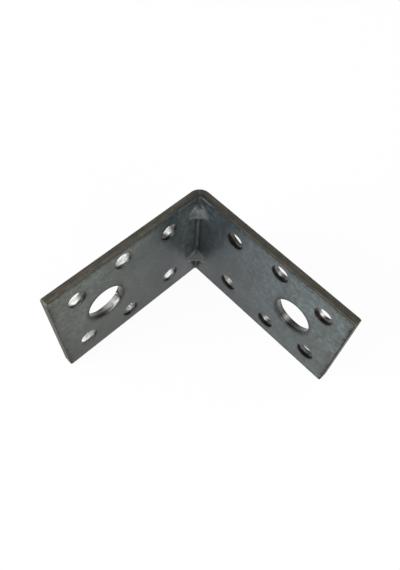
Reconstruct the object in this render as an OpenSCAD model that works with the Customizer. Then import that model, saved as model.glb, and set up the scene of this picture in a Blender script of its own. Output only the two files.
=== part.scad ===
// Angle bracket: one strip of galvanised steel sheet folded to a right angle.
// The fold line is the vertical axis; one leg runs along X, the other along Y.
// Outer faces lie on the planes y = 0 and x = 0, and the lower long edge on z = 0.

/* [Sheet] */
// Thickness of the sheet
sheet_t = 2.5; // [2.2:0.1:2.7]
// Width of the strip, along the fold line
strip_w = 33; // [32:0.5:36]
// Length of the leg along X, from the outer corner
leg_a = 48.2; // [47:0.1:52]
// Length of the leg along Y, from the outer corner
leg_b = 50.9; // [47:0.1:54]
// Inside radius of the fold
fold_r = 0.6; // [0.4:0.1:1.2]
// Rounding of the two long edges on the inner side, from shearing
edge_roll_r = 0.3; // [0.2:0.1:0.5]
// Rounding of the four corners of each leg's end, seen square on
corner_r = 0.5; // [0.3:0.1:1.5]

/* [Hole layout] */
// Height of the layout's middle above the middle of the strip
layout_rise = 0.8; // [0:0.1:1]
// Distance of the outer pair of small holes from the leg's end
outer_pair_in = 7.2; // [6.5:0.1:7.4]
// Distance of the middle pair from the leg's end
middle_pair_in = 21; // [19:0.5:23]
// Distance of the inner pair from the leg's end
inner_pair_in = 35.6; // [35:0.1:36]
// Distance of the outer and inner pairs from the long edges, before the rise
pair_edge_in = 6.45; // [6.2:0.05:6.8]
// Distance of the middle pair from the long edges, before the rise
middle_edge_in = 4.45; // [4.25:0.05:4.8]
// Distance of the large hole from the leg's end
large_in = 14.3; // [14.1:0.1:14.6]

/* [Punching] */
// Diameter of a small hole at its smooth land
small_d = 4.7; // [4.5:0.1:5.2]
// Diameter of the large hole at its smooth land
large_d = 10.4; // [9.8:0.1:10.8]
// Rounding of each hole's rim on the inner side, where the punch went in
rim_r = 0.2; // [0.1:0.05:0.3]
// Depth at which the smooth land ends and the broken wall starts
land_depth = 1.2; // [0.8:0.1:1.6]
// Growth of the radius along the broken wall, up to the outer side
break_out = 0.5; // [0.2:0.05:0.6]

/* [Pressed beads] */
// Radius of the bead's rounded back
bead_r = 3.2; // [2.8:0.1:3.5]
// Height of the upper bead's ridge above the inner corner line
upper_rise = 2.65; // [2.4:0.05:2.7]
// Height of the lower bead's ridge above the inner corner line
lower_rise = 2.2; // [2:0.05:2.6]
// Radius at the bottom of the dent behind the bead
dent_r = 0.8; // [0.5:0.1:1]
// Angle between the dent's side and its middle plane
dent_side_angle = 35; // [25:1:40]
// Thickness left between the dent's bottom and the ridge
bead_wall = 2.4; // [2.2:0.1:2.8]

/* [Hidden] */
$fn = 64;
// Reach of a cutter past the face that it cuts
over = 1;
fold_out_r = fold_r + sheet_t;
layout_z = strip_w / 2 + layout_rise;
// Half the spacing of a pair's two holes
pair_half = strip_w / 2 - pair_edge_in;
middle_half = strip_w / 2 - middle_edge_in;
// Each bead's middle height and the height of its ridge above the corner line
BEADS = [[layout_z + pair_half, upper_rise], [layout_z - pair_half, lower_rise]];
// Length of the straight bodies that form a bead and its dent
bead_len = 6 * bead_r;
dent_len = 8 * sheet_t;
// Depth of the dent's wedge, out past the folded corner
dent_depth = 2 * sheet_t;

// Section across the strip: x is depth from the outer face, y is height
module strip_section() {
  roll_x = sheet_t - edge_roll_r;
  union() {
    square([roll_x, strip_w]);
    translate([0, edge_roll_r])
      square([sheet_t, strip_w - 2 * edge_roll_r]);
    for (roll_z = [edge_roll_r, strip_w - edge_roll_r])
      translate([roll_x, roll_z])
        circle(r = edge_roll_r);
  }
}

// Outline of one leg seen square on, with its end corners rounded
module leg_outline(leg) {
  union() {
    square([leg - corner_r, strip_w]);
    translate([0, corner_r])
      square([leg, strip_w - 2 * corner_r]);
    for (corner_z = [corner_r, strip_w - corner_r])
      translate([leg - corner_r, corner_z])
        circle(r = corner_r);
  }
}

// One flat leg along X, outer face on y = 0, from the fold to the leg's end
module flat_leg(leg) {
  intersection() {
    translate([fold_out_r, 0, 0])
      rotate([90, 0, 90])
        linear_extrude(height = leg - fold_out_r)
          strip_section();
    translate([0, sheet_t + over, 0])
      rotate([90, 0, 0])
        linear_extrude(height = sheet_t + 2 * over)
          leg_outline(leg);
  }
}

// The fold: a quarter turn of the same section about the fold's own axis
module fold() {
  translate([fold_out_r, fold_out_r, 0])
    rotate([0, 0, 180])
      rotate_extrude(angle = 90)
        translate([fold_out_r, 0])
          mirror([1, 0])
            strip_section();
}

// Half section of a punched hole: x is radius, y is depth from the inner face
module punch_section(land_r) {
  union() {
    translate([0, -over])
      square([land_r, land_depth + over]);
    polygon([
      [0, land_depth],
      [land_r, land_depth],
      [land_r + break_out, sheet_t],
      [land_r + break_out, sheet_t + over],
      [0, sheet_t + over]
    ]);
    difference() {
      translate([land_r - rim_r, -over])
        square([2 * rim_r, rim_r + over]);
      translate([land_r + rim_r, rim_r])
        circle(r = rim_r);
    }
  }
}

// One hole through the leg along X, at a distance along it and a height
module punched_hole(along, height_z, land_r) {
  translate([along, sheet_t, height_z])
    rotate([90, 0, 0])
      rotate_extrude()
        punch_section(land_r);
}

// All holes of one leg
module leg_holes(leg) {
  for (side = [-1, 1]) {
    punched_hole(leg - outer_pair_in, layout_z + side * pair_half, small_d / 2);
    punched_hole(leg - middle_pair_in, layout_z + side * middle_half, small_d / 2);
    punched_hole(leg - inner_pair_in, layout_z + side * pair_half, small_d / 2);
  }
  punched_hole(leg - large_in, layout_z, large_d / 2);
}

// The leg along Y is the leg along X mirrored across the diagonal plane
module across() {
  mirror([1, -1, 0])
    children();
}

// Turns a section into a level straight body across the corner
// The section's x counts along the diagonal from the inner faces' meeting line
module along_bead(height_z, body_len) {
  translate([sheet_t, sheet_t, height_z])
    rotate([0, 0, 45])
      rotate([90, 0, 0])
        translate([0, 0, -body_len / 2])
          linear_extrude(height = body_len)
            children();
}

// Rounded back of one bead, kept to the inner half of the sheet and beyond
module bead_body(height_z, rise) {
  intersection() {
    along_bead(height_z, bead_len)
      translate([rise - bead_r, 0])
        circle(r = bead_r);
    translate([sheet_t / 2, sheet_t / 2, height_z - bead_r])
      cube([bead_len, bead_len, 2 * bead_r]);
  }
}

// Dent behind one bead: a wedge with a round nose, its sides touching the nose
module dent_body(height_z, rise) {
  dent_axis_d = rise - bead_wall - dent_r;
  nose_x = dent_axis_d + dent_r * sin(dent_side_angle);
  nose_y = dent_r * cos(dent_side_angle);
  back_y = nose_y + (dent_depth + nose_x) * tan(dent_side_angle);
  along_bead(height_z, dent_len)
    union() {
      translate([dent_axis_d, 0])
        circle(r = dent_r);
      polygon([
        [nose_x, nose_y],
        [-dent_depth, back_y],
        [-dent_depth, -back_y],
        [nose_x, -nose_y]
      ]);
    }
}

module angle_bracket() {
  color("silver")
    difference() {
      union() {
        flat_leg(leg_a);
        across()
          flat_leg(leg_b);
        fold();
        for (bead = BEADS)
          bead_body(bead[0], bead[1]);
      }
      leg_holes(leg_a);
      across()
        leg_holes(leg_b);
      for (bead = BEADS)
        dent_body(bead[0], bead[1]);
    }
}

angle_bracket();
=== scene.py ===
import bmesh
import bpy
import numpy as np
from mathutils import Matrix, Vector


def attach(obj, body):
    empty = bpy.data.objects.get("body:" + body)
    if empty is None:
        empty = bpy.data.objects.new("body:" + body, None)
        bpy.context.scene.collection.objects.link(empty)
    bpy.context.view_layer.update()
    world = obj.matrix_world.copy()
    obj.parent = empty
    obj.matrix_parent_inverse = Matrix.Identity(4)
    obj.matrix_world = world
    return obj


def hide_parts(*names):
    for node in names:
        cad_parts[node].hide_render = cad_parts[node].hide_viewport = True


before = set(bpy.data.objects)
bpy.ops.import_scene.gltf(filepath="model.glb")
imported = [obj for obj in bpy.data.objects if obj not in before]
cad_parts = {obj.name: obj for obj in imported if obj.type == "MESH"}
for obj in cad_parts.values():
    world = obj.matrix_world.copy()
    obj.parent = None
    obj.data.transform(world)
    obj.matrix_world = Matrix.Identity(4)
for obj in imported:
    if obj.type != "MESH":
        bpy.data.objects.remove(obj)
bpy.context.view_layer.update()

bl_info = {
    "name": "Folded Angle Bracket",
    "version": (1, 0, 0),
    "blender": (4, 5, 0),
    "location": "3D View > Sidebar > Bracket",
    "description": "Builds a galvanised angle bracket with punched holes and pressed beads",
    "category": "Add Mesh",
}

MM = 0.001
ROOT2 = np.sqrt(2.0)


def linear(code):
    """Turns a sRGB hex value such as 'a0b1c2' into linear red, green, blue and 1."""
    srgb = np.array([int(code[i : i + 2], 16) / 255.0 for i in (0, 2, 4)])
    low = srgb / 12.92
    high = ((srgb + 0.055) / 1.055) ** 2.4
    return (*np.where(srgb <= 0.04045, low, high).tolist(), 1.0)


def length(name, text, default, low, high):
    """A size in metres, shown in the scene's own length unit."""
    return bpy.props.FloatProperty(
        name=name, description=text, default=default, min=low, max=high,
        precision=5, subtype="DISTANCE", unit="LENGTH",
    )


def tint(name, text, code):
    """A colour, written as sRGB hex and kept as linear red, green, blue."""
    return bpy.props.FloatVectorProperty(
        name=name, description=text, default=linear(code)[:3], min=0.0, max=1.0,
        size=3, subtype="COLOR",
    )


class BracketSizes(bpy.types.PropertyGroup):
    sheet: length("Sheet", "Thickness of the sheet", 0.0025, 0.001, 0.004)
    strip: length("Strip", "Width of the strip along the fold", 0.033, 0.03, 0.04)
    leg_a: length("Leg along X", "Length of the leg along X from the outer corner", 0.0482, 0.045, 0.06)
    leg_b: length("Leg along Y", "Length of the leg along Y from the outer corner", 0.0509, 0.045, 0.06)
    fold: length("Fold", "Inside radius of the fold", 0.0006, 0.0004, 0.0012)
    edge_roll: length("Edge roll", "Rounding of the sheared edges on the inner side", 0.0003, 0.0001, 0.0005)
    corner: length("End corners", "Rounding of each leg's end corners", 0.0006, 0.0004, 0.0015)
    rise: length("Layout rise", "Height of the hole layout above the strip's middle", 0.0008, 0.0, 0.001)
    outer_pair: length("Outer pair", "Distance of the outer pair from the leg's end", 0.0072, 0.0065, 0.0074)
    middle_pair: length("Middle pair", "Distance of the middle pair from the leg's end", 0.021, 0.019, 0.023)
    inner_pair: length("Inner pair", "Distance of the inner pair from the leg's end", 0.0356, 0.035, 0.036)
    large_in: length("Large hole in", "Distance of the large hole from the leg's end", 0.0143, 0.0141, 0.0146)
    pair_gap: length("Pair gap", "Spacing of the outer and inner pairs", 0.0201, 0.019, 0.021)
    middle_gap: length("Middle gap", "Spacing of the middle pair", 0.0241, 0.0235, 0.0245)
    small_hole: length("Small hole", "Diameter of a small hole at its land", 0.0047, 0.0045, 0.0052)
    large_hole: length("Large hole", "Diameter of the large hole at its land", 0.0104, 0.0098, 0.0108)
    rim: length("Rim", "Rounding of each hole's rim on the inner side", 0.0002, 0.0001, 0.0004)
    land: length("Land", "Depth at which the broken wall starts", 0.0013, 0.0008, 0.0016)
    break_out: length("Break out", "Growth of the radius along the broken wall", 0.0006, 0.0002, 0.0008)
    bead_back: length("Bead back", "Radius of a bead's rounded back", 0.0026, 0.0024, 0.0032)
    bead_lift: length("Bead lift", "Height of a bead above its row of holes", 0.00065, 0.0, 0.001)
    upper_rise: length("Upper bead rise", "Height of the upper bead's ridge above the corner line", 0.0025, 0.0022, 0.0027)
    lower_rise: length("Lower bead rise", "Height of the lower bead's ridge above the corner line", 0.0022, 0.002, 0.0026)
    bead_wall: length("Bead wall", "Thickness between the dent's bottom and the ridge", 0.0024, 0.0022, 0.0028)
    dent_nose: length("Dent nose", "Radius at the bottom of the dent", 0.0008, 0.0005, 0.001)
    dent_side: bpy.props.FloatProperty(
        name="Dent side", description="Angle between the dent's side and its middle plane",
        default=np.radians(35.0), min=np.radians(25.0), max=np.radians(40.0), subtype="ANGLE", unit="ROTATION",
    )


class BracketFinish(bpy.types.PropertyGroup):
    zinc: tint("Zinc", "Main grey of the zinc coating", "606566")
    zinc_dull: tint("Dull zinc", "Darker patches of the coating", "545957")
    zinc_pale: tint("Pale zinc", "Lighter patches of the coating", "6b7172")
    sheared: tint("Sheared edge", "Brownish grey of the cut edges", "5c5951")
    # The land's near black and the broken wall's near white hold painted shade and painted light as well as the steel's
    # own tone
    land: tint("Land", "Darkest steel inside the holes", "1e1d1a")
    broken: tint("Broken wall", "Bright torn steel inside the holes", "f4f2ee")


def sizes():
    """All lengths in millimetres, and the one angle, by name."""
    s = bpy.context.scene.bracket_sizes
    out = {k: getattr(s, k) / MM for k in BracketSizes.__annotations__ if k != "dent_side"}
    out["dent_side"] = s.dent_side
    return out


def node(tree, kind, settings=None, links=None):
    """Adds a node, sets its fields and inputs, and links its inputs from (node, output) pairs."""
    n = tree.nodes.new(kind)
    for key, value in (settings or {}).items():
        if key.startswith("in:"):
            name = key[3:]
            n.inputs[int(name) if name.isdigit() else name].default_value = value
        else:
            setattr(n, key, value)
    for key, (src, out) in (links or {}).items():
        tree.links.new(src.outputs[out], n.inputs[int(key) if key.isdigit() else key])
    return n


def new_material(name):
    """An empty node material with its Principled shader and output."""
    mat = bpy.data.materials.new(name)
    mat.use_nodes = True
    tree = mat.node_tree
    tree.nodes.clear()
    shader = node(tree, "ShaderNodeBsdfPrincipled")
    node(tree, "ShaderNodeOutputMaterial", links={"Surface": (shader, "BSDF")})
    return mat, tree, shader


def ramp(tree, src, out, stops):
    """A colour ramp over a value, its stops given as (place, linear colour)."""
    r = node(tree, "ShaderNodeValToRGB", links={"0": (src, out)})
    el = r.color_ramp.elements
    while len(el) < len(stops):
        el.new(0.5)
    for e, (place, colour) in zip(el, stops):
        e.position = place
        e.color = colour
    return r


def zinc_material():
    """Hot-dip zinc on rolled steel: satin grey, mottled in patches of a few millimetres,
    with a fine grain and a sheen that is uneven from handling. Its colour also holds painted
    shade and light: along the legs, up the strip, and at edges, rims, the crease and the corner."""
    look = bpy.context.scene.bracket_finish
    mat, tree, shader = new_material("galvanised_zinc_satin")
    where = node(tree, "ShaderNodeTexCoord")
    # Smudges about 6 mm wide; object coordinates are in metres, so 1/0.006 = 165
    smudge = node(tree, "ShaderNodeTexNoise", {"in:Scale": 165.0, "in:Detail": 3.0, "in:Roughness": 0.55, "in:Distortion": 0.6},
                  {"Vector": (where, "Object")})
    # Spangle flecks about 1.2 mm wide
    fleck = node(tree, "ShaderNodeTexNoise", {"in:Scale": 820.0, "in:Detail": 4.0, "in:Roughness": 0.6},
                 {"Vector": (where, "Object")})
    # Grain of the coating, drawn 0.25 mm coarse so that it shows
    grain = node(tree, "ShaderNodeTexNoise", {"in:Scale": 3600.0, "in:Detail": 3.0, "in:Roughness": 0.65},
                 {"Vector": (where, "Object")})
    tone = ramp(tree, smudge, "Fac", [(0.32, (*look.zinc_dull, 1)), (0.5, (*look.zinc, 1)), (0.7, (*look.zinc_pale, 1))])
    fleck_tone = ramp(tree, fleck, "Fac", [(0.33, linear("7d8384")), (0.5, linear("b9bbb8")), (0.66, linear("f2f0ea"))])
    mixed = node(tree, "ShaderNodeMix", {"data_type": "RGBA", "blend_type": "OVERLAY", "in:0": 0.65},
                 {"6": (tone, "Color"), "7": (fleck_tone, "Color")})
    # Rims, edges, the crease and the corner under the top edge are darker: some grime, mostly painted shade; the mesh
    # holds how strong it is
    near = node(tree, "ShaderNodeAttribute", {"attribute_name": "edge_near"})
    grimed_and_shaded = node(tree, "ShaderNodeMix", {"data_type": "RGBA", "blend_type": "MULTIPLY", "in:7": linear("79756a")},
                {"0": (near, "Fac"), "6": (mixed, 2)})
    # Painted light and shade along the legs: darker about the fold, where each leg mirrors the other,
    # warmer towards the end of the leg along X and cooler along Y; the ramp runs from 48 mm out along Y to 48 mm out
    # along X
    parts = node(tree, "ShaderNodeSeparateXYZ", {}, {"Vector": (where, "Object")})
    across = node(tree, "ShaderNodeMath", {"operation": "SUBTRACT"}, {"0": (parts, "X"), "1": (parts, "Y")})
    place = node(tree, "ShaderNodeMapRange", {"in:From Min": -0.048, "in:From Max": 0.048}, {"Value": (across, "Value")})
    painted_light_along = ramp(tree, place, "Result", [(0.0, linear("dfe4e2")), (0.25, linear("bcc3c7")), (0.41, linear("a0a9b3")), (0.52, linear("d0d6d8")),
                                       (0.55, linear("e6eef4")), (0.60, linear("87979a")), (0.75, linear("abb0a8")), (1.0, linear("d4d1c2"))])
    lit_along = node(tree, "ShaderNodeMix", {"data_type": "RGBA", "blend_type": "MULTIPLY", "in:0": 1.0}, {"6": (grimed_and_shaded, 2), "7": (painted_light_along, "Color")})
    # Painted shade and light over the strip's 33 mm: darker towards the lower edge and lighter towards the top, more so
    # on the leg along X
    lowest = node(tree, "ShaderNodeMapRange", {"in:From Min": -0.01, "in:From Max": 0.01, "in:To Min": 0.60, "in:To Max": 0.47},
                  {"Value": (across, "Value")})
    highest = node(tree, "ShaderNodeMapRange", {"in:From Min": -0.01, "in:From Max": 0.01, "in:To Min": 1.06, "in:To Max": 1.34},
                   {"Value": (across, "Value")})
    height = node(tree, "ShaderNodeMapRange", {"in:From Max": 0.033},
                  {"Value": (parts, "Z"), "To Min": (lowest, "Result"), "To Max": (highest, "Result")})
    lit = node(tree, "ShaderNodeVectorMath", {"operation": "SCALE"}, {"0": (lit_along, 2), "Scale": (height, "Result")})
    # Pressed metal is rougher than the flat coating, and its worn skin is a little paler and warmer
    pressed = node(tree, "ShaderNodeAttribute", {"attribute_name": "pressed"})
    dull = node(tree, "ShaderNodeMix", {"data_type": "RGBA", "blend_type": "ADD", "in:7": linear("1c1000")},
                {"0": (pressed, "Fac"), "6": (lit, "Vector")})
    tree.links.new(dull.outputs[2], shader.inputs["Base Color"])
    rough = node(tree, "ShaderNodeMapRange", {"in:From Min": 0.3, "in:From Max": 0.7, "in:To Min": 0.30, "in:To Max": 0.42},
                 {"Value": (fleck, "Fac")})
    handled = node(tree, "ShaderNodeMath", {"operation": "MAXIMUM"}, {"0": (pressed, "Fac"), "1": (near, "Fac")})
    rougher = node(tree, "ShaderNodeMapRange", {"in:To Max": 0.5}, {"Value": (handled, "Value"), "To Min": (rough, "Result")})
    # Where that mask is strong the gloss is taken away as well, which deepens the grime and painted shade there
    gloss = node(tree, "ShaderNodeMapRange", {"in:To Min": 0.5, "in:To Max": 0.08}, {"Value": (near, "Fac")})
    tree.links.new(gloss.outputs["Result"], shader.inputs["Specular IOR Level"])
    tree.links.new(rougher.outputs["Result"], shader.inputs["Roughness"])
    # Half metal: the film of oxide on old zinc scatters about as much light as the metal mirrors
    shader.inputs["Metallic"].default_value = 0.5
    low = node(tree, "ShaderNodeBump", {"in:Strength": 0.10, "in:Distance": 0.00005}, {"Height": (smudge, "Fac")})
    mid = node(tree, "ShaderNodeBump", {"in:Strength": 0.12, "in:Distance": 0.00002},
               {"Height": (fleck, "Fac"), "Normal": (low, "Normal")})
    fine = node(tree, "ShaderNodeBump", {"in:Strength": 0.30, "in:Distance": 0.000008},
                {"Height": (grain, "Fac"), "Normal": (mid, "Normal")})
    tree.links.new(fine.outputs["Normal"], shader.inputs["Normal"])
    return mat


def sheared_material():
    """Sheared low-carbon steel: brownish grey, dull, with fine lines along the cut."""
    look = bpy.context.scene.bracket_finish
    mat, tree, shader = new_material("sheared_steel_edge")
    across = node(tree, "ShaderNodeAttribute", {"attribute_name": "across"})
    along = node(tree, "ShaderNodeAttribute", {"attribute_name": "along"})
    # Lines about 0.12 mm apart across the 2.5 mm cut, each several millimetres long
    place = node(tree, "ShaderNodeCombineXYZ", {}, {"X": (along, "Fac"), "Y": (across, "Fac")})
    lines = node(tree, "ShaderNodeMapping", {"in:Scale": (0.12, 20.0, 1.0)}, {"Vector": (place, "Vector")})
    stroke = node(tree, "ShaderNodeTexNoise", {"in:Scale": 1.0, "in:Detail": 4.0, "in:Roughness": 0.6}, {"Vector": (lines, "Vector")})
    blotches = node(tree, "ShaderNodeMapping", {"in:Scale": (0.45, 2.2, 1.0)}, {"Vector": (place, "Vector")})
    blotch = node(tree, "ShaderNodeTexNoise", {"in:Scale": 1.0, "in:Detail": 3.0, "in:Roughness": 0.6}, {"Vector": (blotches, "Vector")})
    tone = ramp(tree, stroke, "Fac", [(0.3, linear("4d4a43")), (0.52, (*look.sheared, 1)), (0.72, linear("757167"))])
    cloud = ramp(tree, blotch, "Fac", [(0.35, linear("8f8b80")), (0.6, linear("e6e2d8"))])
    mixed = node(tree, "ShaderNodeMix", {"data_type": "RGBA", "blend_type": "MULTIPLY", "in:0": 0.55},
                 {"6": (tone, "Color"), "7": (cloud, "Color")})
    # The mesh holds the cut's marks and painted shade: 0 is darkest, 1 is plain
    clean = node(tree, "ShaderNodeAttribute", {"attribute_name": "clean"})
    shown = node(tree, "ShaderNodeMix", {"data_type": "RGBA", "in:6": linear("1c1b18"), "clamp_factor": False}, {"0": (clean, "Fac"), "7": (mixed, 2)})
    tree.links.new(shown.outputs[2], shader.inputs["Base Color"])
    shader.inputs["Metallic"].default_value = 0.75
    shader.inputs["Roughness"].default_value = 0.55
    bump = node(tree, "ShaderNodeBump", {"in:Strength": 0.6, "in:Distance": 0.00004}, {"Height": (stroke, "Fac")})
    tree.links.new(bump.outputs["Normal"], shader.inputs["Normal"])
    return mat


def wall_material():
    """Punched steel: a smooth land where the punch rubbed, then a torn, granular wall.
    The mesh holds where the torn part starts, and how bright or stained each place is,
    which includes painted light and shade on the walls."""
    look = bpy.context.scene.bracket_finish
    mat, tree, shader = new_material("punched_steel_wall")
    torn = node(tree, "ShaderNodeAttribute", {"attribute_name": "torn"})
    where = node(tree, "ShaderNodeTexCoord")
    # Grains of the torn wall, about 0.3 mm
    grit = node(tree, "ShaderNodeTexNoise", {"in:Scale": 3000.0, "in:Detail": 4.0, "in:Roughness": 0.7}, {"Vector": (where, "Object")})
    # Stains along the wall, about 1.5 mm
    dimming = node(tree, "ShaderNodeTexNoise", {"in:Scale": 650.0, "in:Detail": 2.0}, {"Vector": (where, "Object")})
    bright = ramp(tree, grit, "Fac", [(0.35, linear("c4c0b6")), (0.55, (*look.broken, 1))])
    stained = node(tree, "ShaderNodeMix", {"data_type": "RGBA", "blend_type": "MULTIPLY", "in:0": 0.35},
                   {"6": (bright, "Color"), "7": (ramp(tree, dimming, "Fac", [(0.4, linear("8a867c")), (0.58, linear("ffffff"))]), "Color")})
    # The mesh's tone runs from the dark land to the bright torn steel, and holds painted light and shade
    tone = node(tree, "ShaderNodeAttribute", {"attribute_name": "tone"})
    shown = node(tree, "ShaderNodeMix", {"data_type": "RGBA", "clamp_factor": False, "in:6": (*look.land, 1)}, {"0": (tone, "Fac"), "7": (stained, 2)})
    tree.links.new(shown.outputs[2], shader.inputs["Base Color"])
    rough = node(tree, "ShaderNodeMapRange", {"in:To Min": 0.42, "in:To Max": 0.26}, {"Value": (torn, "Fac")})
    tree.links.new(rough.outputs["Result"], shader.inputs["Roughness"])
    shader.inputs["Metallic"].default_value = 0.9
    bump = node(tree, "ShaderNodeBump", {"in:Distance": 0.00002}, {"Height": (grit, "Fac"), "Strength": (torn, "Fac")})
    tree.links.new(bump.outputs["Normal"], shader.inputs["Normal"])
    return mat


def waves(x, y, seed, scale):
    """Smooth random field: a sum of eight plane waves of mixed direction, size 0.5 to 2 times scale."""
    rng = np.random.default_rng(seed)
    total = np.zeros(np.broadcast(x, y).shape)
    for _ in range(8):
        turn, phase, size = rng.uniform(0, 2 * np.pi), rng.uniform(0, 2 * np.pi), scale * rng.uniform(0.5, 2.0)
        total += np.sin((x * np.cos(turn) + y * np.sin(turn)) * 2 * np.pi / size + phase)
    return total / np.sqrt(8.0)


def swell(a, b, k):
    """The larger of two heights, with their meeting line rounded over a height k:
    max(a, b) plus k/4 times the square of (1 - |a - b|/k) where that is positive."""
    h = np.clip(1.0 - np.abs(a - b) / k, 0.0, None)
    return np.maximum(a, b) + h * h * k / 4.0


def beads(s):
    """Each bead's middle height and the rise of its ridge."""
    mid = s["strip"] / 2 + s["rise"] + s["bead_lift"]
    return (mid + s["pair_gap"] / 2, s["upper_rise"]), (mid - s["pair_gap"] / 2, s["lower_rise"])


def bead_backs(p, z, s):
    """Height of each bead's round back along the diagonal, a little fuller in its middle,
    as pressed metal is, and far below the sheet past the back's own reach."""
    out = []
    for middle, rise in beads(s):
        room = s["bead_back"] ** 2 - (z - middle) ** 2
        back = rise - s["bead_back"] + np.sqrt(np.clip(room, 0, None)) - 0.1 * p * p / rise
        out.append(np.where(room > 0, back, -9.0))
    return out


def corner_in(p, z, s):
    """Height of the inner surface above the corner line, along the diagonal.
    p runs square to the diagonal and z up. Two planes d = |p| meet in an arc of the
    fold's radius, and each bead adds a level round back of radius bead_back."""
    r = s["fold"]
    out = np.where(np.abs(p) < r / ROOT2, r * ROOT2 - np.sqrt(np.clip(r * r - p * p, 0, None)), np.abs(p))
    for back in bead_backs(p, z, s):
        out = swell(out, back, 1.0)
    return out


def corner_out(p, z, s):
    """Height of the outer surface along the diagonal: the same planes set back by the
    sheet's thickness, an arc of the outer radius, and a dent behind each bead whose
    section is a round nose with straight sides that touch it."""
    t, r = s["sheet"], s["fold"] + s["sheet"]
    flat = np.abs(p) - ROOT2 * t
    base = np.where(np.abs(p) < r / ROOT2, s["fold"] * ROOT2 - np.sqrt(np.clip(r * r - p * p, 0, None)), flat)
    nose, side_angle = s["dent_nose"], s["dent_side"]
    out = base
    for middle, rise in beads(s):
        axis = rise - s["bead_wall"] - nose
        nose_x, nose_y = axis + nose * np.sin(side_angle), nose * np.cos(side_angle)
        dz = np.abs(z - middle)
        dent = np.where(dz < nose_y, axis + np.sqrt(np.clip(nose * nose - dz * dz, 0, None)), nose_x - (dz - nose_y) / np.tan(side_angle))
        out = swell(out, dent, 0.35)
    return out


def joined(*parts):
    """Puts sorted runs of numbers end to end, each run's first number left out after the first run."""
    return np.concatenate([parts[0]] + [q[1:] for q in parts[1:]])


def run(low, high, step):
    """Evenly spaced numbers from low to high, at most a step apart."""
    return np.linspace(low, high, int(np.ceil((high - low) / step)) + 1)


class Sheet:
    """Gathers grids of points into one mesh. Each grid has rows and columns of points,
    the marks for its material, and its vertex values."""

    def __init__(self):
        self.points, self.faces, self.slots = [], [], []
        self.values = {"edge_near": [], "pressed": [], "across": [], "along": [], "clean": [], "torn": [], "tone": []}
        self.count = 0

    def add(self, xyz, slot, flip=False, **values):
        n, m = xyz.shape[:2]
        index = self.count + np.arange(n * m).reshape(n, m)
        quads = np.stack([index[:-1, :-1], index[1:, :-1], index[1:, 1:], index[:-1, 1:]], -1).reshape(-1, 4)
        self.faces.append(quads[:, ::-1] if flip else quads)
        self.slots.append(np.full(len(quads), slot))
        self.points.append(xyz.reshape(-1, 3))
        for name, held in self.values.items():
            held.append(np.broadcast_to(values.get(name, 0.0), (n, m)).reshape(-1))
        self.count += n * m

    def to_object(self, name, materials):
        """Makes the mesh, joins points closer than a ten-thousandth of a millimetre,
        and turns every face outwards."""
        mesh = bpy.data.meshes.new(name)
        xyz = np.concatenate(self.points) * MM
        quads = np.concatenate(self.faces)
        mesh.vertices.add(len(xyz))
        mesh.vertices.foreach_set("co", xyz.ravel())
        mesh.loops.add(quads.size)
        mesh.loops.foreach_set("vertex_index", quads.ravel())
        mesh.polygons.add(len(quads))
        mesh.polygons.foreach_set("loop_start", np.arange(0, quads.size, 4))
        mesh.polygons.foreach_set("material_index", np.concatenate(self.slots))
        for key, held in self.values.items():
            layer = mesh.attributes.new(key, "FLOAT", "POINT")
            layer.data.foreach_set("value", np.concatenate(held).astype(np.float32))
        mesh.update(calc_edges=True)
        mesh.validate()
        work = bmesh.new()
        work.from_mesh(mesh)
        bmesh.ops.remove_doubles(work, verts=work.verts, dist=1e-7)
        bmesh.ops.dissolve_degenerate(work, edges=work.edges, dist=1e-8)
        bmesh.ops.recalc_face_normals(work, faces=work.faces)
        open_edges = sum(1 for e in work.edges if not e.is_manifold)
        work.to_mesh(mesh)
        work.free()
        if open_edges:
            raise RuntimeError(f"{name} has {open_edges} open edges")
        for m in materials:
            mesh.materials.append(m)
        mesh.shade_smooth()
        mesh.set_sharp_from_angle(angle=np.radians(38.0))
        obj = bpy.data.objects.new(name, mesh)
        bpy.context.scene.collection.objects.link(obj)
        return obj


def fold_point(leg, along, depth, z):
    """A point of a leg: along from the outer corner, depth from the outer face, height z."""
    along, depth, z = np.broadcast_arrays(along, depth, z)
    return np.stack([along, depth, z] if leg == "a" else [depth, along, z], -1)


def diagonal_point(p, d, z, s):
    """A point given square to the diagonal, along it from the inner corner line, and up.
    Positive p lies towards the leg along X."""
    t = s["sheet"]
    return np.stack([t + (d + p) / ROOT2, t + (d - p) / ROOT2, z], -1)


def corner_warp(along, z, leg_end, s, inset):
    """Rounds the end corners of a leg's flat grid: inside a square of the corner's side,
    the square's point (a, b) goes to (a sqrt(1 - b b/2), b sqrt(1 - a a/2)) of the circle."""
    c = s["corner"] - inset
    lo, hi = inset + c, s["strip"] - inset - c
    a = np.clip((along - (leg_end - inset - c)) / c, 0, 1)
    b = np.where(z < lo, (z - lo) / c, np.where(z > hi, (z - hi) / c, 0.0))
    new_a, new_b = a * np.sqrt(1 - b * b / 2), b * np.sqrt(1 - a * a / 2)
    return along + (new_a - a) * c, z + (new_b - b) * c


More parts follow.
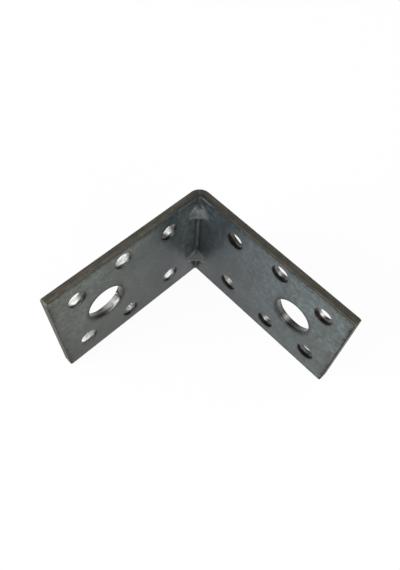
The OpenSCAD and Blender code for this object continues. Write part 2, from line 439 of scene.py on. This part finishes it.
# Each hole's bright patch, partly bare torn steel and partly painted light, which is stronger
# on the leg along X: the cosine of the turn at its middle, where -1 is the side towards the
# fold, its half width in that cosine, its brightness, and that of the stained and shaded wall
# about it. A leg's small holes are listed from its end inwards, the lower one of each pair
# first, then the large one.
BARE_AND_LIT_PATCHES = {
    "a": ((0.3, 0.8, 1.6, 0.1), (0.15, 0.5, 1.6, 0.05), (-0.2, 0.28, 0.9, 0.2), (-0.2, 0.55, 1.5, 0.1),
          (-0.2, 0.45, 1.7, 0.0), (-0.35, 0.25, 1.5, 0.1), (-0.32, 0.38, 0.75, 0.1)),
    "b": ((-0.2, 0.35, 0.25, 0.12), (-0.35, 0.22, 1.3, 0.12), (-0.35, 0.22, 0.9, 0.2), (-0.3, 0.25, 0.7, 0.15),
          (-0.35, 0.25, 1.1, 0.3), (-0.1, 0.2, 0.1, 0.05), (-0.32, 0.15, 0.65, 0.14)),
}
# Brightness of the smooth land against the torn wall, for each leg's small holes and large one: partly the land's own
# tone, partly painted shade, deeper on the leg along Y
LAND_TONE_AND_SHADE = {"a": (0.15, 0.6), "b": (0.04, 0.6)}
# Depth of the land as a share of the size above, for each leg's small holes and large one
LAND_SHARE = {"a": (0.6, 0.7), "b": (0.85, 0.6)}
# Cosine of the turn at which the large hole's wall is cracked, on the leg along X alone
CRACK_AT = {"a": -0.83, "b": None}


def hole_list(leg, leg_len, s):
    """Each hole of a leg: where along, height, radius of the land, depth of the land, a
    seed, its bright patch, the brightness of its land, and its crack."""
    mid = s["strip"] / 2 + s["rise"]
    pairs = ((s["outer_pair"], s["pair_gap"]), (s["middle_pair"], s["middle_gap"]), (s["inner_pair"], s["pair_gap"]))
    places = [(inset, side * gap / 2, s["small_hole"] / 2) for inset, gap in pairs for side in (-1, 1)]
    places.append((s["large_in"], 0.0, s["large_hole"] / 2))
    out = []
    for k, (inset, dz, r) in enumerate(places):
        land = s["land"] * LAND_SHARE[leg][k == 6]
        out.append((leg_len - inset, mid + dz, r, land, 11 * k, BARE_AND_LIT_PATCHES[leg][k], LAND_TONE_AND_SHADE[leg][k == 6], CRACK_AT[leg] if k == 6 else None))
    return out


def build_sheet(s):
    """The whole folded strip as one closed surface, patch by patch."""
    t, width, roll = s["sheet"], s["strip"], s["edge_roll"]
    sheet = Sheet()
    span = 4.2
    start = 9.0
    c_in = s["corner"] - roll
    mid = width / 2 + s["rise"]
    row_low, row_high = mid - 6.5, mid + 6.5
    z = joined(run(roll, roll + c_in, 0.06), run(roll + c_in, mid - 13.4, 0.4), run(mid - 13.4, row_low, 0.22), run(row_low, row_high, 0.42),
               run(row_high, mid + 13.4, 0.22), run(mid + 13.4, width - roll - c_in, 0.4), run(width - roll - c_in, width - roll, 0.06))
    row = [0, int(np.argmin(np.abs(z - row_low))), int(np.argmin(np.abs(z - row_high))), len(z) - 1]
    half = joined(run(0.0, 0.9, 0.1), run(0.9, span, 0.11))
    p = np.concatenate([-half[::-1], half[1:]])
    pp, zz = np.meshgrid(p, z, indexing="ij")
    d_in, d_out = corner_in(pp, zz, s), corner_out(pp, zz, s)
    # Both surfaces come back to the flat legs before the patch ends
    fade = np.clip((span - np.abs(pp)) / 0.5, 0, 1)
    d_in = np.abs(pp) + (d_in - np.abs(pp)) * fade
    d_out = np.abs(pp) - ROOT2 * t + (d_out - np.abs(pp) + ROOT2 * t) * fade
    inner_loop, outer_loop = {}, {}
    # Pressed metal on the beads; painted shade on the fold's own line and in a dark line on each side of it, below the
    # upper bead, and the painted shade of the corner under the top edge
    pressed = np.clip((np.maximum(*bead_backs(pp, zz, s)) - np.abs(pp) + 0.6) / 1.1, 0, 1)
    pressed = pressed * pressed * (3 - 2 * pressed)
    crease_shade = (0.45 * np.exp(-(((np.abs(pp) - 0.75) / 0.28) ** 2)) + 0.5 * np.exp(-((pp / 0.4) ** 2))) * (1 - pressed)
    crease_shade = crease_shade * np.clip(beads(s)[0][0] - zz, 0, 1)
    shade = np.maximum(corner_shade(pp, zz, s) * (1 - pressed), border_grime_and_shade(zz, s))
    sheet.add(diagonal_point(pp, d_in, zz, s), 0, pressed=pressed, edge_near=np.maximum(crease_shade, shade))
    sheet.add(diagonal_point(pp, d_out, zz, s), 0, flip=True)
    inner_loop["fold"], outer_loop["fold"] = diagonal_point(pp, d_in, zz, s), diagonal_point(pp, d_out, zz, s)
    for leg, leg_len in (("a", s["leg_a"]), ("b", s["leg_b"])):
        common = joined(run(start, leg_len - roll - c_in, 0.42), run(leg_len - roll - c_in, leg_len - roll, 0.06))
        for face in ("in", "out"):
            first = (t + ROOT2 * span) if face == "in" else ROOT2 * span
            along = joined(np.linspace(first, start, 4), common)
            ss, hh = np.meshgrid(along, z, indexing="ij")
            ws, wh = corner_warp(ss, hh, leg_len, s, roll)
            depth = t if face == "in" else 0.0
            full = fold_point(leg, ws, depth, wh)
            (inner_loop if face == "in" else outer_loop)[leg] = full
            holes = hole_list(leg, leg_len, s)
            col = lambda e: int(np.argmin(np.abs(along - (leg_len - e))))
            cells = []
            for r, side in ((0, -1), (2, 1)):
                bounds = [3, col(28.3), col(13.9), len(along) - 1]
                for k, h in enumerate((5 if side > 0 else 4, 3 if side > 0 else 2, 1 if side > 0 else 0)):
                    cells.append((bounds[k], bounds[k + 1], row[r], row[r + 1], holes[h]))
                cells.append((0, 3, row[r], row[r + 1], None))
            big_lo, big_hi = col(s["large_in"] + 7.0), col(s["large_in"] - 7.0)
            cells += [(0, big_lo, row[1], row[2], None), (big_lo, big_hi, row[1], row[2], holes[6]), (big_hi, len(along) - 1, row[1], row[2], None)]
            for i0, i1, j0, j1, hole in cells:
                if hole is None:
                    part = np.s_[i0 : i1 + 1, j0 : j1 + 1]
                    sheet.add(full[part], 0, edge_near=border_grime_and_shade(wh[part], s, leg, leg_len - ws[part]))
                    continue
                box = lambda g: np.concatenate([g[i0:i1, j0], g[i1, j0:j1], g[i1:i0:-1, j1], g[i0, j1:j0:-1], g[i0:i0 + 1, j0]])
                bx, bz = box(ws), box(wh)
                turn = np.unwrap(np.arctan2(bz - hole[1], bx - hole[0]))
                hole_rings(sheet, leg, face, bx, bz, turn, hole, leg_len, s)
    edge_band(sheet, inner_loop, outer_loop, s)
    return sheet


def rim_radius(turn, land_r, face, seed, s):
    """Radius at which the flat face ends: the land's radius plus the rim's rounding on the
    inner side, and plus the break-out, which wanders with the turn, on the outer side."""
    if face == "in":
        return land_r + s["rim"] + 0 * turn
    wander = 0.10 * np.sin(2 * turn + seed) + 0.06 * np.sin(5 * turn + 2.1 * seed) + 0.035 * np.sin(11 * turn + 0.7 * seed)
    return land_r + s["break_out"] + wander


# Painted shade on each leg's face at its end, and the distance over which it fades
END_SHADE = {"a": (0.38, 2.4), "b": (0.25, 1.0), "fold": (0.0, 1.0)}


def border_grime_and_shade(z, s, leg="fold", to_end=9.0):
    """How much a point of a face is darkened near the strip's border: a thin line falling off
    over 0.12 mm from the long edges, a band over 0.4 mm along the lower edge, painted shade
    over a few millimetres from the leg's end, and the painted shade of the corner under the top edge."""
    side = np.clip(np.minimum(z, s["strip"] - z) - s["edge_roll"], 0, None)
    end = np.clip(to_end - s["edge_roll"], 0, None)
    depth, reach = END_SHADE[leg]
    low = 0.35 * np.exp(-side / 0.4) * (z < s["strip"] / 2)
    along = s["leg_" + leg] - to_end - s["sheet"] if leg != "fold" else 99.0
    shades = (0.12 * np.exp(-side / 0.12), low, depth * np.exp(-end / reach), corner_shade(along / ROOT2, z, s))
    return np.maximum.reduce(np.broadcast_arrays(*shades))


def corner_shade(p, z, s):
    """Painted shade in the corner under the top edge: strongest at the edge and fading over 2 mm
    downwards, and over 6 mm to each side of the fold, with a paler streak on the fold."""
    down = np.clip(s["strip"] - z, 0, None)
    return 0.85 * np.exp(-((p / 6.0) ** 2) - down / 2.2) * (1 - 0.7 * np.exp(-((p / 0.25) ** 2)))


def hole_rings(sheet, leg, face, bx, bz, turn, hole, leg_len, s):
    """Rings from a cell's border to a hole's rim, and on the inner face the wall as well.
    A ring's point goes from the rim to the border as q to the power 1.6."""
    t = s["sheet"]
    cx, cz, land_r, land, seed = hole[:5]
    r = rim_radius(turn, land_r, face, seed, s)
    rx, rz = cx + r * np.cos(turn), cz + r * np.sin(turn)
    q = (np.linspace(0, 1, 9) ** 1.6)[:, None]
    x, z = rx + (bx - rx) * q, rz + (bz - rz) * q
    gap = np.hypot(x - cx, z - cz) - r
    # The punch drags the face in: it sinks close to the rim, and by 0.05 mm at it
    sink = 0.05 * np.exp(-gap / 0.45) * np.clip(1.0 - q, 0, 1)
    depth = t - sink if face == "in" else sink * 0.0
    # Painted shade round the rim: narrow at the small holes, broad and deep at the large one
    near = (0.6 * np.exp(-gap / 0.15) if land_r < 4.0 else 1.0 * np.exp(-gap / 0.7)) * np.clip(1.0 - q, 0, 1)
    sheet.add(fold_point(leg, x, depth, z), 0, edge_near=np.maximum(near, border_grime_and_shade(z, s, leg, leg_len - x)))
    if face == "in":
        wall(sheet, leg, turn, hole, s)


def wall(sheet, leg, turn, hole, s):
    """The punched wall, from the inner rim to the outer side: a quarter-round rim, a smooth
    land, and a torn part whose start and surface wander with the turn."""
    t = s["sheet"]
    cx, cz, land_r, land, seed, (middle, half, peak, about), land_tone_and_shade, crack_at = hole
    wide = s["rim"]
    top = 0.05
    start = land + 0.10 * np.sin(turn * 1 + seed) + 0.08 * np.sin(3 * turn + 1.3 * seed) + 0.05 * np.sin(9 * turn + seed)
    end_r = rim_radius(turn, land_r, "out", seed, s)
    bend = np.linspace(0, np.pi / 2, 5)[:, None]
    rim_r = land_r + wide * (1 - np.sin(bend)) + 0 * turn
    rim_d = top + (wide - top) * (1 - np.cos(bend)) + 0 * turn
    land_d = wide + (start - wide) * np.array([[0.5], [0.95]])
    land_rr = land_r + 0 * land_d
    f = np.linspace(0.06, 1.0, 8)[:, None]
    torn_d = start + (t - start) * f
    rough = waves(turn * land_r * 1.0, torn_d, seed + 5, 0.9) * 0.045 * np.sin(np.pi * np.clip(f, 0, 1)) ** 0.5
    torn_r = land_r + (end_r - land_r) * f ** 0.85 + rough * np.where(f >= 1.0, 0.0, 1.0)
    # The first and last turn are the same line
    torn_r[:, -1] = torn_r[:, 0]
    depth = np.concatenate([rim_d, land_d, torn_d])
    torn = np.concatenate([0 * rim_r, 0 * land_rr, np.clip(f * 12.0, 0, 1) + 0 * turn])
    crack = 0 * turn if crack_at is None else np.exp(-(((np.cos(turn) - crack_at) / 0.06) ** 2)) * (np.sin(turn) < 0)
    torn_r = torn_r + 0.3 * crack * np.sin(np.pi * f)
    radius = np.concatenate([rim_r, land_rr, torn_r])
    side = np.cos(turn)
    # The patch of bare steel and painted light, over a wall that is lighter at the sides along the leg
    bare_and_lit = about * (0.3 + side ** 2) + (peak - about) * np.exp(-(((side - middle) / half) ** 2))
    tone = bare_and_lit * (land_tone_and_shade + (1 - land_tone_and_shade) * torn) * (1 - 0.9 * crack)
    x, z = cx + radius * np.cos(turn), cz + radius * np.sin(turn)
    sheet.add(fold_point(leg, x, t - depth, z), 2, torn=torn, tone=tone)


# Rows of points across the flat part of the cut
CUT_ROWS = 22


def edge_band(sheet, inner, outer, s):
    """The sheared edge all round the strip. Inner and outer border points are paired, and
    each pair is joined by the edge's profile: share of the way out, and how far it stands
    out. The profile has a rounded inner rim, a flat cut, and a broken part that leans in."""
    t, roll, width = s["sheet"], s["edge_roll"], s["strip"]
    bend = np.linspace(0, np.pi / 2, 6)
    share = np.concatenate([roll / t * (1 - np.cos(bend)), np.linspace(roll / t, 1.0, CUT_ROWS + 1)[1:]])
    lean = np.clip((share - 0.45) / 0.55, 0, 1)
    stand = np.concatenate([np.sin(bend), np.ones(CUT_ROWS)]) - 0.08 * lean

    def border(g):
        a, f, b = g["a"], g["fold"], g["b"]
        low = np.concatenate([a[::-1, 0], f[::-1, 0][1:], b[1:, 0]])
        high = np.concatenate([a[::-1, -1], f[::-1, -1][1:], b[1:, -1]])
        return low, b[-1, :], high, a[-1, :]

    low_i, end_b_i, high_i, end_a_i = border(inner)
    low_o, end_b_o, high_o, end_a_o = border(outer)
    ring_in = np.concatenate([low_i, end_b_i[1:], high_i[::-1][1:], end_a_i[::-1][1:]])
    ring_out = np.concatenate([low_o, end_b_o[1:], high_o[::-1][1:], end_a_o[::-1][1:]])
    # The way out from the strip's face: up or down, along the legs at their ends, and
    # turning between the two round the corners
    c = s["corner"] - roll
    mean = (ring_in + ring_out) / 2
    up = np.where(mean[:, 2] < width / 2, roll + c, width - roll - c)
    dz = np.where(np.abs(mean[:, 2] - width / 2) > width / 2 - roll - c - 1e-9, mean[:, 2] - up, 0.0)
    on_a, on_b = mean[:, 0] > t + 3.0, mean[:, 1] > t + 3.0
    dx = np.where(on_a, np.clip(mean[:, 0] - (s["leg_a"] - roll - c), 0, None), 0.0)
    dy = np.where(on_b, np.clip(mean[:, 1] - (s["leg_b"] - roll - c), 0, None), 0.0)
    way = np.stack([dx, dy, dz], -1)
    way /= np.linalg.norm(way, axis=1, keepdims=True)
    a, b = share[:, None, None], (stand * roll)[:, None, None]
    # The outer border has no rounding, so its points stand out by the roll's own depth
    body = ring_in * (1 - a) + ring_out * a + way * b
    # Where the top edge crosses the fold the metal is pinched: a low ridge along the
    # diagonal between two shallow grooves
    p = (mean[:, 0] - mean[:, 1]) / ROOT2
    at_fold = (mean[:, 2] > width / 2) & (mean[:, 0] < t + 3.0) & (mean[:, 1] < t + 3.0)
    ridge = np.exp(-((p / 0.3) ** 2))
    sunk = np.where(at_fold, 0.14 * np.exp(-((p / 1.3) ** 2)) - 0.09 * ridge, 0.0)
    body[5:, :, 2] -= sunk * np.clip((share[5:, None] - 0.2) * 8, 0, 1) * np.clip((1.0 - share[5:, None]) * 12, 0, 1)
    path = np.concatenate([[0.0], np.cumsum(np.linalg.norm(np.diff(mean, axis=0), axis=1))])
    # Painted shade towards the fold, over 14 mm, on the rounded rim and the inner half of the cut
    from_fold = np.exp(-((p / 14.0) ** 2)) * (mean[:, 2] > width / 2)
    # Painted shade on the rounded rim: darker on the leg along Y, towards the fold, round the ends and along the lower
    # edge of the leg along Y
    near = np.where(on_b, 0.45, 0.05) + 0.4 * from_fold + 0.7 * (1 - np.abs(way[:, 2])) + 0.4 * on_b * (way[:, 2] < -0.5)
    near = np.clip(near, 0, 1)
    sheet.add(body[:6], 0, edge_near=near + 0 * bend[:, None], pressed=np.sin(bend)[:, None] * (1 - 0.8 * from_fold))
    cut = share[5:, None]
    clean = 1.15 + 0 * (cut + path)
    clean = clean - 0.5 * from_fold * np.clip((0.65 - cut) / 0.35, 0, 1)
    # At the fold, a painted highlight on the pinched ridge and painted shade about it
    clean += np.where(at_fold, 0.3 * ridge - 0.35 * np.exp(-((p / 2.4) ** 2)), 0.0)
    # The shear's mark: a bright line on the leg along Y, a broad paler band on the other
    line = np.where(on_b, 1.0 * np.exp(-(((cut - 0.22) / 0.07) ** 2)) - 0.1, 0.45 * np.exp(-(((cut - 0.34) / 0.17) ** 2)) + 0.4 * np.clip(1.0 - (cut - 0.12) / 0.1, 0, 1))
    clean += line * np.clip(np.abs(p) / 5.0 - 1.0, 0, 1) * np.abs(way[:, 2])
    # Painted shade on the ends, the leg along Y's most towards its outer face
    dimming = np.where(on_b, 0.7 + 0.3 * np.clip((cut - 0.75) / 0.15, 0, 1), 0.82 - 0.25 * cut)
    clean = clean - dimming * (1 - np.abs(way[:, 2]))
    sheet.add(body[5:], 1, across=cut + 0 * path, along=path + 0 * cut, clean=clean)
    # A lip from the end of the cut back to the outer face's border
    lip = np.stack([body[-1], ring_out])
    sheet.add(lip, 0, edge_near=np.array([[1.0], [0.9]]) + 0 * path)


class BRACKET_OT_sheet(bpy.types.Operator):
    """Build the folded and punched sheet"""

    bl_idname = "bracket.sheet"
    bl_label = "Folded sheet"

    def execute(self, context):
        obj = build_sheet(sizes()).to_object("folded_sheet", [zinc_material(), sheared_material(), wall_material()])
        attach(obj, "root")
        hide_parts("angle_bracket")
        return {"FINISHED"}


class BRACKET_OT_stage(bpy.types.Operator):
    """Set the floor, the lamps, the sky and the camera"""

    bl_idname = "bracket.stage"
    bl_label = "Floor, light and camera"

    def execute(self, context):
        scene = context.scene
        floor_and_sky(scene)
        lamps(scene)
        camera(scene)
        scene.view_settings.view_transform = "Standard"
        return {"FINISHED"}


def floor_and_sky(scene):
    """A plain white floor that keeps a soft shadow, under an even pale sky."""
    mesh = bpy.data.meshes.new("floor")
    r = 3.0
    mesh.from_pydata([(-r, -r, 0), (r, -r, 0), (r, r, 0), (-r, r, 0)], [], [(0, 1, 2, 3)])
    floor = bpy.data.objects.new("floor", mesh)
    floor.location = (0, 0, -0.00002)
    scene.collection.objects.link(floor)
    mat, tree, shader = new_material("white_paper_floor")
    shader.inputs["Base Color"].default_value = linear("f4f4f4")
    shader.inputs["Roughness"].default_value = 0.9
    shader.inputs["Specular IOR Level"].default_value = 0.0
    glow = node(tree, "ShaderNodeEmission", {"in:Color": (1, 1, 1, 1), "in:Strength": 1.0})
    path = node(tree, "ShaderNodeLightPath")
    seen = node(tree, "ShaderNodeMath", {"operation": "ADD"}, {"0": (path, "Is Camera Ray"), "1": (path, "Is Glossy Ray")})
    every = node(tree, "ShaderNodeMath", {"operation": "ADD", "use_clamp": True}, {"0": (seen, "Value"), "1": (path, "Is Transmission Ray")})
    share = node(tree, "ShaderNodeMath", {"operation": "MULTIPLY", "in:1": 0.95}, {"0": (every, "Value")})
    mix = node(tree, "ShaderNodeMixShader", {}, {"0": (share, "Value"), "1": (shader, "BSDF"), "2": (glow, "Emission")})
    out = next(n for n in tree.nodes if n.type == "OUTPUT_MATERIAL")
    tree.links.new(mix.outputs["Shader"], out.inputs["Surface"])
    floor.data.materials.append(mat)
    world = bpy.data.worlds.new("pale_sky")
    scene.world = world
    world.use_nodes = True
    tree = world.node_tree
    tree.nodes.clear()
    # The sky is bright near the horizon and dims towards the zenith
    aim = node(tree, "ShaderNodeTexCoord")
    parts = node(tree, "ShaderNodeSeparateXYZ", {}, {"Vector": (aim, "Generated")})
    level = node(tree, "ShaderNodeMapRange", {"in:From Min": 0.05, "in:From Max": 0.75, "in:To Min": 1.4, "in:To Max": 0.5},
                 {"Value": (parts, "Z")})
    sky = node(tree, "ShaderNodeBackground", {"in:Color": linear("eef1f2")}, {"Strength": (level, "Result")})
    node(tree, "ShaderNodeOutputWorld", {}, {"Surface": (sky, "Background")})


def lamps(scene):
    """Two broad soft lamps, one above the open side and one beyond the fold."""
    for name, place, aim, size, power, colour in (
        ("soft_lamp_left", (0.85, -0.33, 0.42), (0.02, 0.02, 0.015), 0.8, 12.0, "f4f8ff"),
        ("soft_lamp_front", (0.25, 1.0, 0.40), (0.02, 0.02, 0.015), 0.6, 4.0, "fffaf0"),
    ):
        light = bpy.data.lights.new(name, "AREA")
        light.shape, light.size, light.energy = "DISK", size, power
        light.color = linear(colour)[:3]
        obj = bpy.data.objects.new(name, light)
        obj.location = place
        obj.rotation_euler = (Vector(aim) - Vector(place)).to_track_quat("-Z", "Y").to_euler()
        scene.collection.objects.link(obj)


def camera(scene):
    """The camera found from the photograph: its place, aim, roll and focal length."""
    yaw, pitch, roll = -2.40757, -1.04136, 0.08412
    ahead = Vector((np.cos(pitch) * np.cos(yaw), np.cos(pitch) * np.sin(yaw), np.sin(pitch)))
    level = ahead.cross(Vector((0, 0, 1))).normalized()
    over = level.cross(ahead)
    right = level * np.cos(roll) + over * np.sin(roll)
    up = over * np.cos(roll) - level * np.sin(roll)
    data = bpy.data.cameras.new("camera")
    data.sensor_width = 36.0
    data.lens = 533.34 * 36.0 / 570.0
    data.clip_start = 0.005
    obj = bpy.data.objects.new("camera", data)
    turn = Matrix((right, up, -ahead)).transposed().to_4x4()
    obj.matrix_world = Matrix.Translation((0.0644914, 0.0609032, 0.1354266)) @ turn
    scene.collection.objects.link(obj)
    scene.camera = obj


class BRACKET_PT_panel(bpy.types.Panel):
    bl_label = "Angle bracket"
    bl_idname = "BRACKET_PT_panel"
    bl_space_type = "VIEW_3D"
    bl_region_type = "UI"
    bl_category = "Bracket"

    def draw(self, context):
        scene = context.scene
        for group, kind in ((scene.bracket_sizes, BracketSizes), (scene.bracket_finish, BracketFinish)):
            box = self.layout.box()
            for key in kind.__annotations__:
                box.prop(group, key)
        for op in (BRACKET_OT_sheet, BRACKET_OT_stage):
            self.layout.operator(op.bl_idname)


CLASSES = (BracketSizes, BracketFinish, BRACKET_OT_sheet, BRACKET_OT_stage, BRACKET_PT_panel)


def register():
    for c in CLASSES:
        bpy.utils.register_class(c)
    bpy.types.Scene.bracket_sizes = bpy.props.PointerProperty(type=BracketSizes)
    bpy.types.Scene.bracket_finish = bpy.props.PointerProperty(type=BracketFinish)


def unregister():
    del bpy.types.Scene.bracket_finish
    del bpy.types.Scene.bracket_sizes
    for c in reversed(CLASSES):
        bpy.utils.unregister_class(c)


def main():
    register()
    bpy.ops.bracket.stage()
    bpy.ops.bracket.sheet()
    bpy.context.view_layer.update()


if __name__ == "__main__":
    main()
